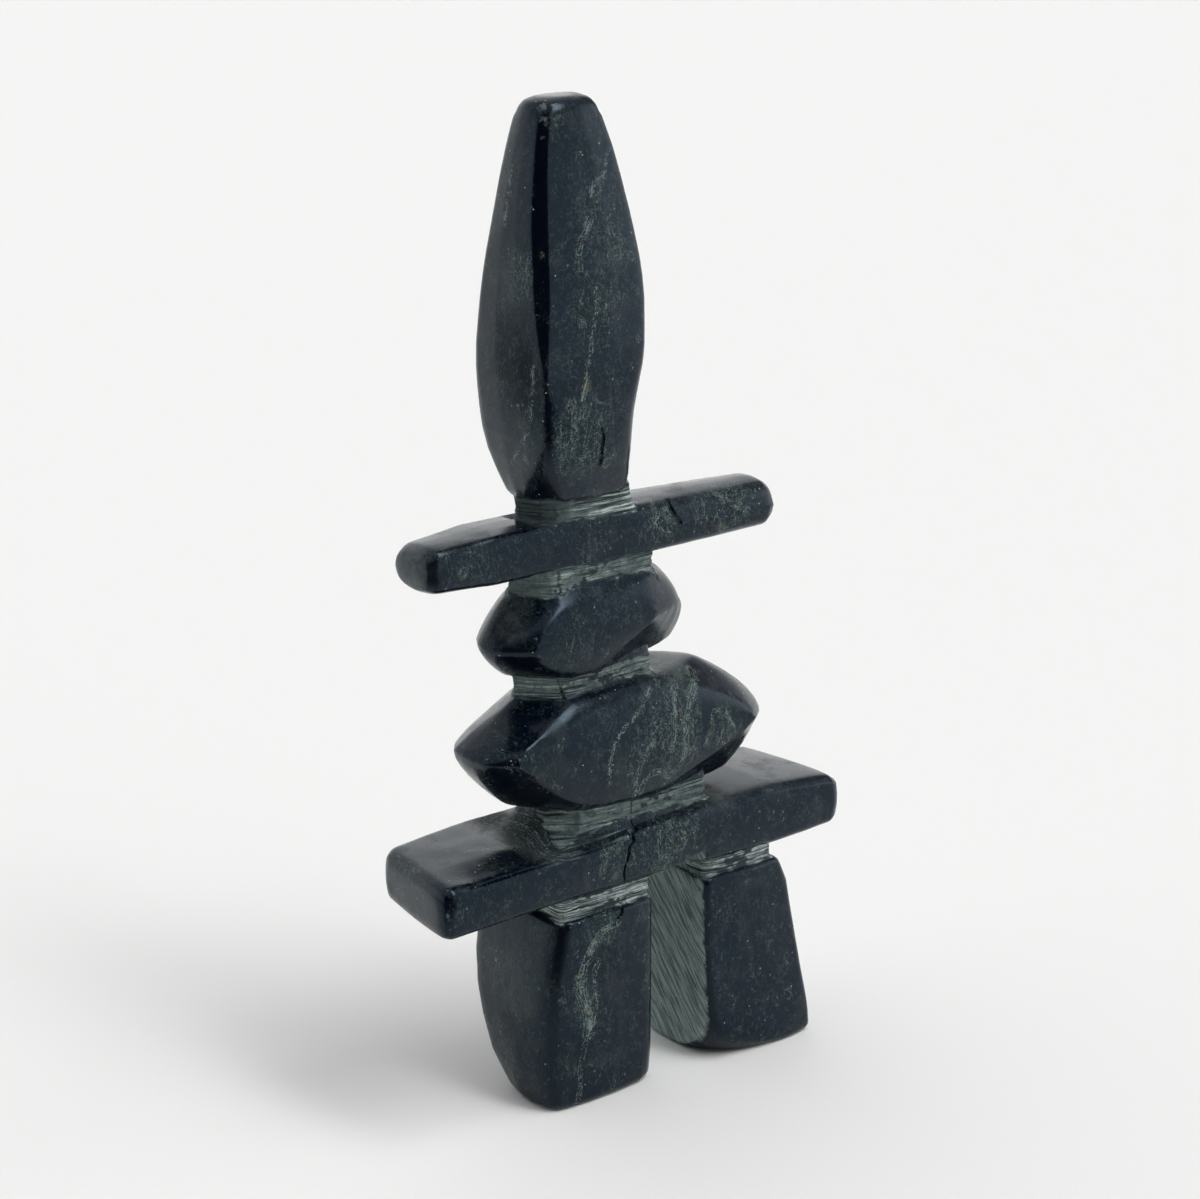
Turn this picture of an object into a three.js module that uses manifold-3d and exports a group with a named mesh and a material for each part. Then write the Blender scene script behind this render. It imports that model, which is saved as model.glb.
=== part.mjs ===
// A standing stone figure of seven stacked stones, carved from one block of dark serpentine.
// Two leg stones carry a lintel, two keeled belly stones, an arm stone and a tall head stone. Rough
// sawn necks join them, so the whole carving is one solid.
// Millimetres, +Z up, the front of the figure faces -Y. The origin is on the floor under its middle.
import * as THREE from "three";
import { mergeVertices } from "three/addons/utils/BufferGeometryUtils.js";
import Module from "manifold-3d";

const wasm = await Module();
wasm.setup();

// Leg stones
const legHeight = 61.5;
const legDepth = 41;
const leftLegWidth = 44.2;
const rightLegWidth = 42.5;
const legGap = 19;
const gapArch = 4.5; // how far the gap is filed up into the lintel
// Lintel, the long stone across the legs
const lintelLength = 151;
const lintelDepth = 41;
const lintelThickness = 17;
// Belly stones
const lowerBellyLength = 109;
const lowerBellyDepth = 40;
const lowerBellyHeight = 37;
const upperBellyLength = 72;
const upperBellyDepth = 32;
const upperBellyHeight = 26;
// Arm stone
const armLength = 132;
const armDepth = 21.5;
const armThickness = 15.5;
// Head stone
const headHeight = 115;
const headWidth = 39;
const headDepth = 37;
// Rough necks between the stones. They bite into the stones above and below, and take their widths
// and depths from them.
const neckBite = 3;
const legNeckHeight = 5.5;
const legNeckDepth = 0.88 * legDepth;
const leftLegNeckWidth = 0.77 * leftLegWidth;
const rightLegNeckWidth = 0.66 * rightLegWidth;
const lintelNeckHeight = 8.5;
const lintelNeckWidth = 0.52 * lowerBellyLength;
const lintelNeckDepth = 0.725 * lowerBellyDepth;
const bellyNeckHeight = 5.5;
const bellyNeckWidth = 0.61 * upperBellyLength;
const bellyNeckDepth = 0.72 * upperBellyDepth;
const armNeckHeight = 6;
const armNeckWidth = 0.625 * upperBellyLength;
const armNeckDepth = 0.95 * armDepth;
const headNeckHeight = 5;
const headNeckWidth = 0.9 * headWidth;
const headNeckDepth = 0.93 * armDepth;
// How far the middle of each stone stands to the right of the lintel's middle
const legShift = 11;
const lowerBellyShift = -3;
const upperBellyShift = -14;
const armShift = -9;
const headShift = -19.5;
// Radii of the worn corners and rims
const legCorner = 8;
const gapCorner = 5;
const toeCorner = 3;
const barCorner = 3;
const neckCorner = 1.5;
const square = [0.05, 0.05]; // the cut at a neck's left corners where they are nearly square
const footRim = 2;
const stoneRim = 1.5;
const lintelEndRim = 3.4;
const armEndRim = 4.5;
const crestRim = 3;
// How far the long faces swell at the middle
const stoneCrown = 0.8;
const barCrown = 0.45;

// How finely the surfaces are cut into flats
const cornerSteps = 4;
const sideSteps = 3;
const spanSteps = 6;
const endSteps = 2;
const archSteps = 6;

// A smooth curve through a few points, each [share of the stone's length, value].
function curve(...points) {
  const at = points.map((point) => point[0]);
  const values = points.map((point) => point[1]);
  const spline = new THREE.CubicInterpolant(at, values, 1);
  return (share) => spline.evaluate(THREE.MathUtils.clamp(share, at[0], at[at.length - 1]))[0];
}

// The stand-out of a keeled face: a share of it at the stone's foot and top, all of it at the keel.
// The flanks are straight when the fullness is 1 and swell as it grows.
function keel(at, [foot, lowerFullness], [top, upperFullness]) {
  return (share) => {
    const under = share < at;
    const fall = under ? 1 - share / at : (share - at) / (1 - at);
    const end = under ? foot : top;
    return end + (1 - end) * (1 - fall ** (under ? lowerFullness : upperFullness));
  };
}

// A corner worn round by one radius, or by a radius that changes over the length.
function worn(radius) {
  return (share) => {
    const size = typeof radius === "function" ? radius(share) : radius;
    return { along: size, deep: size, bulge: 1, crease: 0 };
  };
}

// A corner cut back by a facet. Its size runs along the faces as shares of their half widths. It
// bulges from flat (0) to round (1), and its edge on the long face stays sharp when the crease is 1.
function facet([reach, half], along, deep, bulge = 0.15, crease = 0) {
  return (share) => ({ along: reach * along(share), deep: half * deep(share), bulge, crease });
}

// The corners of an outline in turn, and the way out from the face that follows each one
const outward = [
  new THREE.Vector2(0, -1),
  new THREE.Vector2(1, 0),
  new THREE.Vector2(0, 1),
  new THREE.Vector2(-1, 0),
];

// One outline of a stone: four slightly crowned faces, with each corner cut back by a facet. It runs
// anticlockwise, from the left end of the front face.
function outline({ left, right, front, back, crown, corners }) {
  const [frontLeft, frontRight, backRight, backLeft] = corners;
  const room = (length, one, other) => Math.min(1, (0.95 * length) / (one + other));
  const frontRoom = room(right - left, frontLeft.along, frontRight.along);
  const backRoom = room(right - left, backLeft.along, backRight.along);
  const leftRoom = room(back - front, frontLeft.deep, backLeft.deep);
  const rightRoom = room(back - front, frontRight.deep, backRight.deep);
  const turns = [
    { u: left, v: front, along: frontRoom, deep: leftRoom, ahead: true },
    { u: right, v: front, along: -frontRoom, deep: rightRoom, ahead: false },
    { u: right, v: back, along: -backRoom, deep: -rightRoom, ahead: true },
    { u: left, v: back, along: backRoom, deep: -leftRoom, ahead: false },
  ];
  const arcs = turns.map(({ u, v, along, deep, ahead }, i) =>
    Array.from({ length: cornerSteps + 1 }, (_, k) => {
      const s = ahead ? k / cornerSteps : 1 - k / cornerSteps;
      const angle = (s * Math.PI) / 2;
      const bulge = corners[i].bulge * (1 - corners[i].crease * s);
      const cutAlong = THREE.MathUtils.lerp(s, 1 - Math.cos(angle), bulge);
      const cutDeep = THREE.MathUtils.lerp(1 - s, 1 - Math.sin(angle), bulge);
      return new THREE.Vector2(
        u + along * corners[i].along * cutAlong,
        v + deep * corners[i].deep * cutDeep,
      );
    }),
  );
  return arcs.flatMap((arc, i) => {
    const next = arcs[(i + 1) % arcs.length][0];
    const side = Array.from({ length: sideSteps - 1 }, (_, k) => {
      const s = (k + 1) / sideSteps;
      const swell = crown * 4 * s * (1 - s);
      return arc[cornerSteps].clone().lerp(next, s).addScaledVector(outward[i], swell);
    });
    return [...arc, ...side];
  });
}

// A stone lofted through outlines from one end to the other. Every face and corner is a function of
// the share of the length, each end is rounded over, and shear slides the outlines along the length.
function loft({ from, to, breaks = [], left, right, front, back, corners, crown, ends, shear, lying }) {
  const round = (at, radius, inward) =>
    Array.from({ length: endSteps + 1 }, (_, k) => {
      const angle = ((k / endSteps) * Math.PI) / 2;
      return { w: at + inward * radius * (1 - Math.cos(angle)), inset: radius * (1 - Math.sin(angle)) };
    });
  const foot = round(from, ends[0], 1);
  const top = round(to, ends[1], -1).reverse();
  const bends = breaks.map((share) => THREE.MathUtils.lerp(from, to, share));
  const marks = [foot[endSteps].w, ...bends, top[0].w];
  const stations = [...foot];
  marks.slice(1).forEach((mark, i) => {
    for (let k = 1; k <= spanSteps; k++) {
      stations.push({ w: THREE.MathUtils.lerp(marks[i], mark, k / spanSteps), inset: 0 });
    }
  });
  stations.push(...top.slice(1));
  const rings = stations.map(({ w, inset }) => {
    const share = (w - from) / (to - from);
    const ring = outline({
      left: left(share) + inset,
      right: right(share) - inset,
      front: front(share) + inset,
      back: back(share) - inset,
      crown,
      corners: corners.map((corner) => corner(share)),
    });
    return ring.map(({ x, y }) => {
      const slid = w + (shear ? shear(share, x, y) : 0);
      return lying ? new THREE.Vector3(slid, x, y) : new THREE.Vector3(x, y, slid);
    });
  });
  return skin(rings);
}

// The closed surface through rings of equal length, with a fan over each end.
function skin(rings) {
  const count = rings[0].length;
  const vertices = rings.flat();
  const faces = [];
  for (let r = 0; r + 1 < rings.length; r++) {
    for (let k = 0; k < count; k++) {
      const a = r * count + k;
      const b = r * count + ((k + 1) % count);
      faces.push(a, b, b + count, a, b + count, a + count);
    }
  }
  for (const [ring, flip] of [
    [0, true],
    [rings.length - 1, false],
  ]) {
    const centre = new THREE.Vector3();
    rings[ring].forEach((point) => centre.addScaledVector(point, 1 / count));
    const hub = vertices.push(centre) - 1;
    for (let k = 0; k < count; k++) {
      const a = ring * count + k;
      const b = ring * count + ((k + 1) % count);
      faces.push(...(flip ? [hub, b, a] : [hub, a, b]));
    }
  }
  return new THREE.BufferGeometry().setFromPoints(vertices).setIndex(faces);
}

// The levels of the stack, from the floor up
const lintelBottom = legHeight + legNeckHeight;
const lintelTop = lintelBottom + lintelThickness;
const lowerBellyBottom = lintelTop + lintelNeckHeight;
const lowerBellyTop = lowerBellyBottom + lowerBellyHeight;
const upperBellyBottom = lowerBellyTop + bellyNeckHeight;
const upperBellyTop = upperBellyBottom + upperBellyHeight;
const armBottom = upperBellyTop + armNeckHeight;
const armTop = armBottom + armThickness;
const headBottom = armTop + headNeckHeight;

// The left leg stone, splayed at its outer side and cut away at the back near the floor.
function leftLeg() {
  const inner = legShift - legGap / 2;
  const half = legDepth / 2;
  const width = curve([0, 0.93], [0.1, 0.97], [0.3, 0.975], [0.6, 0.95], [0.85, 0.89], [1, 0.85]);
  const rear = curve([0, 0.22], [0.1, 0.46], [0.2, 0.68], [0.35, 0.92], [0.6, 1.15], [1, 1.22]);
  const innerCorner = curve([0, 7], [0.1, 5.5], [0.3, gapCorner], [1, gapCorner]);
  return loft({
    from: 0,
    to: legHeight,
    left: (share) => inner - leftLegWidth * width(share),
    right: () => inner,
    front: () => -half,
    back: (share) => half * rear(share),
    corners: [
      facet([legCorner, legCorner], () => 0.5, () => 0.75, 0.7),
      worn(innerCorner),
      worn(legCorner),
      worn(legCorner),
    ],
    crown: stoneCrown,
    ends: [footRim, stoneRim],
  });
}

// The right leg stone, straight and rough in the gap. Its outer side leans in towards the top and
// its toe swells forward, rounded off towards the gap.
function rightLeg() {
  const inner = legShift + legGap / 2;
  const half = legDepth / 2;
  const width = curve([0, 1], [0.2, 0.985], [0.48, 0.935], [0.74, 0.87], [0.92, 0.81], [1, 0.74]);
  const fore = curve([0, 1.25], [0.12, 1.22], [0.35, 1.1], [0.65, 1.02], [1, 0.98]);
  const rear = curve([0, 0.5], [0.1, 0.66], [0.3, 0.86], [0.6, 1], [1, 1]);
  const toeAlong = curve([0, 1.2], [0.08, 0.62], [0.18, 0.24], [0.4, 0.12], [1, 0.1]);
  const toeDeep = curve([0, 0.85], [0.08, 0.5], [0.18, 0.22], [0.4, 0.12], [1, 0.1]);
  return loft({
    from: 0,
    to: legHeight,
    breaks: [0.25],
    left: () => inner,
    right: (share) => inner + rightLegWidth * width(share),
    front: (share) => -half * fore(share),
    back: (share) => half * rear(share),
    corners: [
      facet([half, half], toeAlong, toeDeep, 0.8),
      worn(toeCorner),
      worn(legCorner),
      worn(gapCorner),
    ],
    crown: stoneCrown,
    ends: [footRim, stoneRim],
  });
}

// The lintel, a flat bar whose ends are cut slightly out of square.
function lintel() {
  const half = lintelDepth / 2;
  const reach = lintelLength / 2;
  const rear = curve([0, 0.95], [0.1, 1.04], [0.25, 1.12], [0.6, 1.17], [0.8, 1.22], [1, 1.04]);
  const upper = curve([0, -0.08], [0.1, -0.02], [0.3, -0.03], [0.6, 0.09], [0.8, 0.15], [1, -0.02]);
  const lower = curve([0, -0.02], [0.2, 0.04], [0.5, 0.05], [0.8, -0.05], [1, 0.02]);
  const slant = curve([0, 0.12], [1, -0.11]);
  return loft({
    from: -reach,
    to: reach,
    left: () => -half,
    right: (share) => half * rear(share),
    front: (share) => lintelBottom + lintelThickness * lower(share),
    back: (share) => lintelTop + lintelThickness * upper(share),
    corners: [worn(barCorner), worn(barCorner), worn(barCorner), worn(barCorner)],
    crown: barCrown,
    ends: [lintelEndRim, lintelEndRim],
    shear: (share, y) => slant(share) * y,
    lying: true,
  });
}

// The lower belly stone. Its keel is sharp at both ends and soft across the front.
function lowerBelly() {
  const reach = lowerBellyLength / 2;
  const half = lowerBellyDepth / 2;
  const at = 0.54;
  const leftFlank = keel(at, [0.66, 1.6], [0.64, 1.08]);
  const rightFlank = keel(at, [0.75, 1.9], [0.54, 1.45]);
  const face = keel(at, [0.78, 1.6], [0.78, 1.7]);
  const leftAlong = curve([0, 0.265], [0.4, 0.23], [at, 0.13], [0.67, 0.08], [0.8, 0.135], [1, 0.22]);
  const leftDeep = curve([0, 0.72], [at, 0.42], [1, 0.74]);
  const rightAlong = curve([0, 0.62], [0.12, 0.575], [0.37, 0.38], [at, 0.2], [1, 0.44]);
  const rightDeep = curve([0, 0.45], [at, 0.6], [1, 0.5]);
  const rearAlong = curve([0, 0.36], [at, 0.4], [1, 0.36]);
  const rearDeep = curve([0, 0.6], [at, 0.85], [1, 0.8]);
  const dip = curve([0, -0.05], [at, -0.048], [1, 0.035]);
  const sizes = [reach, half];
  return loft({
    from: lowerBellyBottom,
    to: lowerBellyTop,
    breaks: [at],
    left: (share) => lowerBellyShift - reach * leftFlank(share),
    right: (share) => lowerBellyShift + reach * rightFlank(share),
    front: (share) => -half * face(share),
    back: (share) => half * face(share),
    corners: [
      facet(sizes, leftAlong, leftDeep, 0.5, 1),
      facet(sizes, rightAlong, rightDeep, 0.4, 0.6),
      facet(sizes, rearAlong, rearDeep, 0.4),
      facet(sizes, rearAlong, rearDeep, 0.4),
    ],
    crown: stoneCrown,
    ends: [stoneRim, stoneRim],
    shear: (share, x) => dip(share) * (x - lowerBellyShift),
  });
}

// The upper belly stone, smaller, with a blunt left keel and a rounded right end.
function upperBelly() {
  const reach = upperBellyLength / 2;
  const half = upperBellyDepth / 2;
  const at = 0.51;
  const leftFlank = keel(at, [0.66, 1.6], [0.66, 1.25]);
  const rightFlank = keel(0.38, [0.9, 2], [0.72, 1.7]);
  const face = keel(at, [0.8, 1.5], [0.82, 2]);
  const leftAlong = curve([0, 0.255], [0.26, 0.26], [at, 0.23], [0.8, 0.2], [1, 0.26]);
  const leftDeep = curve([0, 0.85], [at, 0.6], [1, 1]);
  const rightAlong = curve([0, 0.9], [0.2, 0.86], [0.38, 0.68], [at, 0.5], [0.7, 0.44], [1, 0.25]);
  const rightDeep = curve([0, 0.62], [at, 0.62], [1, 0.6]);
  const rearAlong = curve([0, 0.33], [at, 0.44], [1, 0.34]);
  const rearDeep = curve([0, 0.62], [at, 0.94], [1, 0.6]);
  const tilt = curve([0, 0.03], [at, 0.04], [1, 0.06]);
  const sizes = [reach, half];
  return loft({
    from: upperBellyBottom,
    to: upperBellyTop,
    breaks: [at],
    left: (share) => upperBellyShift - reach * leftFlank(share),
    right: (share) => upperBellyShift + reach * rightFlank(share),
    front: (share) => -half * face(share),
    back: (share) => half * face(share),
    corners: [
      facet(sizes, leftAlong, leftDeep, 0.5, 1),
      facet(sizes, rightAlong, rightDeep, 0.4, 0.6),
      facet(sizes, rearAlong, rearDeep, 0.4),
      facet(sizes, rearAlong, rearDeep, 0.4),
    ],
    crown: stoneCrown,
    ends: [stoneRim, stoneRim],
    shear: (share, x) => tilt(share) * (x - upperBellyShift),
  });
}

// The arm stone, a slimmer bar with rounded ends.
function arm() {
  const half = armDepth / 2;
  const reach = armLength / 2;
  const rear = curve([0, 0.8], [0.15, 1], [0.5, 1], [1, 0.8]);
  const upper = curve([0, -0.16], [0.1, -0.1], [0.3, -0.06], [0.6, 0], [1, 0]);
  const lower = curve([0, 0], [0.3, -0.02], [0.6, 0], [0.8, 0.03], [1, 0.08]);
  const footFront = curve([0, 4], [0.1, barCorner], [0.9, 4], [1, 4.5]);
  const footBack = curve([0, 6.5], [0.12, 4], [0.5, barCorner], [1, 4.5]);
  const topBack = curve([0, 7], [0.12, 4.5], [0.5, barCorner], [1, 5.5]);
  const topFront = curve([0, 4], [0.08, 2.2], [0.5, 2.2], [0.72, 4.5], [0.9, 6], [1, 6.5]);
  return loft({
    from: armShift - reach,
    to: armShift + reach,
    left: () => -half,
    right: (share) => half * rear(share),
    front: (share) => armBottom + armThickness * lower(share),
    back: (share) => armTop + armThickness * upper(share),
    corners: [worn(footFront), worn(footBack), worn(topBack), worn(topFront)],
    crown: barCrown,
    ends: [armEndRim, armEndRim],
    lying: true,
  });
}

// The head stone, a tall blade, fullest low down and tapering to a small flat top.
function head() {
  const wide = headWidth / 2;
  const deep = headDepth / 2;
  const depth = curve([0, 0.6], [0.14, 0.94], [0.28, 1.02], [0.49, 0.86], [0.7, 0.65], [1, 0.38]);
  const leftEdge = curve([0, 0.72], [0.14, 0.95], [0.3, 1.01], [0.55, 0.96], [0.9, 0.69], [1, 0.54]);
  const rightEdge = curve([0, 0.92], [0.2, 0.8], [0.38, 0.96], [0.55, 1.01], [0.85, 0.7], [1, 0.4]);
  const bevel = curve([0, 0.32], [0.08, 0.16], [0.2, 0.04], [0.33, 0.05], [0.5, 0.17], [1, 0.12]);
  const flank = curve([0, 0.26], [0.2, 0.36], [0.4, 0.2], [1, 0.13]);
  const sizes = [wide, deep];
  return loft({
    from: headBottom,
    to: headBottom + headHeight,
    breaks: [0.33, 0.67],
    left: (share) => headShift - wide * leftEdge(share),
    right: (share) => headShift + wide * rightEdge(share),
    front: (share) => -deep * depth(share),
    back: (share) => deep * depth(share),
    corners: [
      facet(sizes, bevel, bevel),
      facet(sizes, flank, flank, 0.9),
      facet(sizes, bevel, bevel),
      facet(sizes, flank, flank, 0.9),
    ],
    crown: stoneCrown,
    ends: [stoneRim, crestRim],
    shear: (share, x, y) => share ** 8 * (0.08 * (x - headShift) + 0.05 * y),
  });
}

// A rough neck that bites into the stones above and below it, centred on the figure's depth. Its
// left corners are cut back, and it may flare out to the left and the front towards its foot. The
// cuts and the flare are shares of its width and depth.
function neck({ from, to, middle, width, depth, fore = square, rear = square, flare = [0, 0] }) {
  const spread = (share) => (1 - share) ** 3;
  const cut = ([along, deep], bulge) => facet([width, depth], () => along, () => deep, bulge);
  return loft({
    from: from - neckBite,
    to: to + neckBite,
    left: (share) => middle - width * (0.5 + flare[0] * spread(share)),
    right: () => middle + width / 2,
    front: (share) => -depth * (0.5 + flare[1] * spread(share)),
    back: () => depth / 2,
    corners: [cut(fore), worn(neckCorner), worn(neckCorner), cut(rear, 0.5)],
    crown: stoneCrown,
    ends: [neckCorner, neckCorner],
  });
}

const necks = [
  neck({
    from: legHeight,
    to: lintelBottom,
    middle: legShift - legGap / 2 - 0.42 * leftLegWidth,
    width: leftLegNeckWidth,
    depth: legNeckDepth,
  }),
  neck({
    from: legHeight,
    to: lintelBottom,
    middle: legShift + legGap / 2 + 0.36 * rightLegWidth,
    width: rightLegNeckWidth,
    depth: legNeckDepth,
  }),
  neck({
    from: lintelTop,
    to: lowerBellyBottom,
    middle: lowerBellyShift,
    width: lintelNeckWidth,
    depth: lintelNeckDepth,
    fore: [0.17, 0.25],
    rear: [0.17, 0.3],
    flare: [0.28, 0.08],
  }),
  neck({
    from: lowerBellyTop,
    to: upperBellyBottom,
    middle: upperBellyShift - 0.03 * upperBellyLength,
    width: bellyNeckWidth,
    depth: bellyNeckDepth,
    fore: [0.24, 0.42],
    rear: [0.4, 0.55],
    flare: [0.02, 0.02],
  }),
  neck({
    from: upperBellyTop,
    to: armBottom,
    middle: upperBellyShift - 0.015 * upperBellyLength,
    width: armNeckWidth,
    depth: armNeckDepth,
    fore: [0.14, 0.5],
    rear: [0.3, 0.4],
    flare: [0.02, 0.1],
  }),
  neck({
    from: armTop,
    to: headBottom,
    middle: headShift + 0.05 * headWidth,
    width: headNeckWidth,
    depth: headNeckDepth,
    fore: [0.18, 0.42],
    rear: [0.3, 0.4],
  }),
];

// Everything taken away between the legs, filed up into the lintel towards the right.
function gap() {
  const shape = new THREE.Shape();
  shape.moveTo(0, 0);
  shape.lineTo(legGap, 0);
  shape.lineTo(legGap, lintelBottom + gapArch);
  shape.quadraticCurveTo(legGap / 2, lintelBottom + 0.7 * gapArch, 0, lintelBottom);
  shape.closePath();
  const geometry = new THREE.ExtrudeGeometry(shape, {
    depth: 2 * legDepth,
    bevelEnabled: false,
    curveSegments: archSteps,
  });
  geometry.rotateX(Math.PI / 2);
  geometry.translate(legShift - legGap / 2, legDepth, 0);
  return geometry;
}

// Turns closed geometry into a solid that can be joined and cut.
function solid(geometry) {
  geometry.deleteAttribute("normal");
  geometry.deleteAttribute("uv");
  const merged = mergeVertices(geometry, 1e-4);
  return new wasm.Manifold(
    new wasm.Mesh({
      numProp: 3,
      vertProperties: merged.attributes.position.array,
      triVerts: new Uint32Array(merged.index.array),
    }),
  );
}

const stones = [leftLeg(), rightLeg(), lintel(), lowerBelly(), upperBelly(), arm(), head()];
const carved = [...stones, ...necks]
  .map(solid)
  .reduce((whole, piece) => whole.add(piece))
  .subtract(solid(gap()));
const mesh = carved.getMesh();
const geometry = new THREE.BufferGeometry()
  .setAttribute("position", new THREE.BufferAttribute(mesh.vertProperties, 3))
  .setIndex(new THREE.BufferAttribute(mesh.triVerts, 1));
geometry.computeBoundingBox();
const middle = geometry.boundingBox.getCenter(new THREE.Vector3());
geometry.translate(-middle.x, -middle.y, 0);

const serpentine = new THREE.MeshStandardMaterial({ color: 0x1d2427, roughness: 0.35, metalness: 0 });
const carving = new THREE.Mesh(geometry, serpentine);
carving.name = "inukshuk";

const figure = new THREE.Group();
figure.add(carving);
export default figure;
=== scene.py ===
import math

import bpy
import numpy as np
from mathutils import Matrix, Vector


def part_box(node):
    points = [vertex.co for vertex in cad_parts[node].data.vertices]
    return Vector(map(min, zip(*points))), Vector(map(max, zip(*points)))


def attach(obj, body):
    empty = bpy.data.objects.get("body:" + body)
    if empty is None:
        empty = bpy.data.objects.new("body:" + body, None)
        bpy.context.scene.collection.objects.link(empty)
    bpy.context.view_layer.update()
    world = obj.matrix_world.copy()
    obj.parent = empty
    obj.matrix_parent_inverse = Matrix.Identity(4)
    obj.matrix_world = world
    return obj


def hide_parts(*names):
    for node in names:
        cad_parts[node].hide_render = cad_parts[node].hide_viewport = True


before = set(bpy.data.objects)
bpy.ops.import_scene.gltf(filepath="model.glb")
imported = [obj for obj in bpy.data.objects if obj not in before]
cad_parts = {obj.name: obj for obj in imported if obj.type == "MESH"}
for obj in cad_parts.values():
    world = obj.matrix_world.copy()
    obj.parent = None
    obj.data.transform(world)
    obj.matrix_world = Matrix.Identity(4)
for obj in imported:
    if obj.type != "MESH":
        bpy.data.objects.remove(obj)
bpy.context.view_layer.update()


# Camera. It stands to the front left of the figure and a little above it, with a long lens, and
# looks a little down on the stones.
turned_left = 38
tipped_down = 16.2
camera_data = bpy.data.cameras.new("camera")
camera_data.lens = 72
camera = bpy.data.objects.new("camera", camera_data)
bpy.context.collection.objects.link(camera)
camera.location = (-0.43183, -0.54569, 0.35377)
camera.rotation_euler = (math.radians(90 - tipped_down), 0, math.radians(-turned_left))
bpy.context.scene.camera = camera


# The block. The whole figure is one piece of dark serpentine, sawn and filed into seven stones and
# polished by hand. Its solid is copied here and the solid's loose faces are joined.
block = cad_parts["inukshuk"]
bpy.ops.object.select_all(action="DESELECT")
figure = bpy.data.objects.new("stone_figure", block.data.copy())
bpy.context.collection.objects.link(figure)
bpy.context.view_layer.objects.active = figure
figure.select_set(True)
bpy.ops.object.mode_set(mode="EDIT")
bpy.ops.mesh.select_all(action="SELECT")
bpy.ops.mesh.remove_doubles(threshold=1e-6)
bpy.ops.object.mode_set(mode="OBJECT")


# The worn edges. Every edge is rubbed round by hand: the tops of the bellies and the front edge of
# the head are the softest, while the keels and the edges under the stones stay crisp. The rubbed
# places are drawn in to a softer copy of the block, and the rest is only eased.
def apply_modifier(piece, kind, **settings):
    """Adds a modifier to a piece and applies it."""
    bpy.context.view_layer.objects.active = piece
    modifier = piece.modifiers.new(kind.lower(), kind)
    for name, value in settings.items():
        setattr(modifier, name, value)
    bpy.ops.object.modifier_apply(modifier=modifier.name)


def surface():
    """The figure's points, in millimetres, and the ways out from its surface."""
    points = np.empty(len(figure.data.vertices) * 3, np.float32)
    normals = np.empty(len(figure.data.vertices) * 3, np.float32)
    figure.data.vertices.foreach_get("co", points)
    figure.data.vertex_normals.foreach_get("vector", normals)
    return points.reshape(-1, 3).astype(float) * 1000, normals.reshape(-1, 3).astype(float)


def ease(low, high, values):
    """From 0 at low to 1 at high, with soft ends."""
    share = np.clip((values - low) / (high - low), 0, 1)
    return share * share * (3 - 2 * share)


soft = bpy.data.objects.new("soft_form", figure.data.copy())
bpy.context.collection.objects.link(soft)
apply_modifier(soft, "REMESH", mode="VOXEL", voxel_size=0.001)
apply_modifier(soft, "SMOOTH", factor=0.5, iterations=45)
apply_modifier(figure, "REMESH", mode="VOXEL", voxel_size=0.0005)
apply_modifier(figure, "SMOOTH", factor=0.5, iterations=8)
any_slope = -2
rubbed = [  # the middle and half the size of each rubbed place, how much, and from which slope up
    ((-5, 0, 147), (38, 30, 15), 1.0, 0.04),
    ((0, 0, 111), (40, 30, 19), 1.0, 0.04),
    ((-14, -10, 210), (16, 12, 16), 0.6, any_slope),
    ((-33, 0, 302), (30, 30, 5), 0.6, 0.0),
    ((-70, 0, 177), (16, 20, 16), 0.4, any_slope),
    ((30, -8, 182), (30, 10, 6), 0.4, any_slope),
    ((55, 0, 84), (25, 30, 6), 0.6, 0.2),
    ((-36, -14, 206), (7, 8, 14), 0.7, any_slope),
    ((3, 0, 189), (7, 14, 4), 0.8, any_slope),
    ((-34, -18, 102), (13, 12, 8), 1.0, any_slope),
    ((-32, -14, 139), (8, 10, 5), 1.0, any_slope),
    ((-77, 0, 80), (8, 30, 12), 0.25, any_slope),
    ((-38, -20, 28), (8, 12, 30), 0.2, any_slope),
    ((0.5, -20, 28), (5, 12, 34), 0.3, any_slope),
]
points, normals = surface()
worn = np.zeros(len(points))
for middle, half, strength, slope in rubbed:
    reach = np.abs((points - np.array(middle)) / np.array(half)).max(axis=1)
    inside = 1 - ease(0.8, 1.2, reach)
    worn = np.maximum(worn, strength * inside * ease(slope, slope + 0.3, normals[:, 2]))
group = figure.vertex_groups.new(name="worn")
grades = 20
for grade in range(1, grades + 1):
    chosen = np.flatnonzero(np.round(worn * grades) == grade)
    group.add(chosen.tolist(), grade / grades, "REPLACE")
apply_modifier(figure, "SHRINKWRAP", target=soft, vertex_group="worn")
apply_modifier(figure, "SMOOTH", factor=0.5, iterations=6, vertex_group="worn")
figure.vertex_groups.clear()
bpy.data.objects.remove(soft)


# The necks. Between the stones the block is only sawn and filed: the grooves are rough, split in
# layers, with marks that run along them and chipped rims.
necks = [  # the middle and half the size of each neck
    ((-16.9, 0.3, 64.3), (17.0, 18.0, 2.8)),
    ((35.9, 0.3, 64.3), (14.0, 18.0, 2.8)),
    ((-3.0, 0.3, 88.2), (28.4, 14.5, 4.2)),
    ((-16.1, 0.3, 132.2), (22.0, 11.5, 2.8)),
    ((-15.0, 0.3, 164.0), (22.5, 10.2, 3.1)),
    ((-17.5, 0.3, 185.0), (17.5, 10.0, 2.6)),
]


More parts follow.
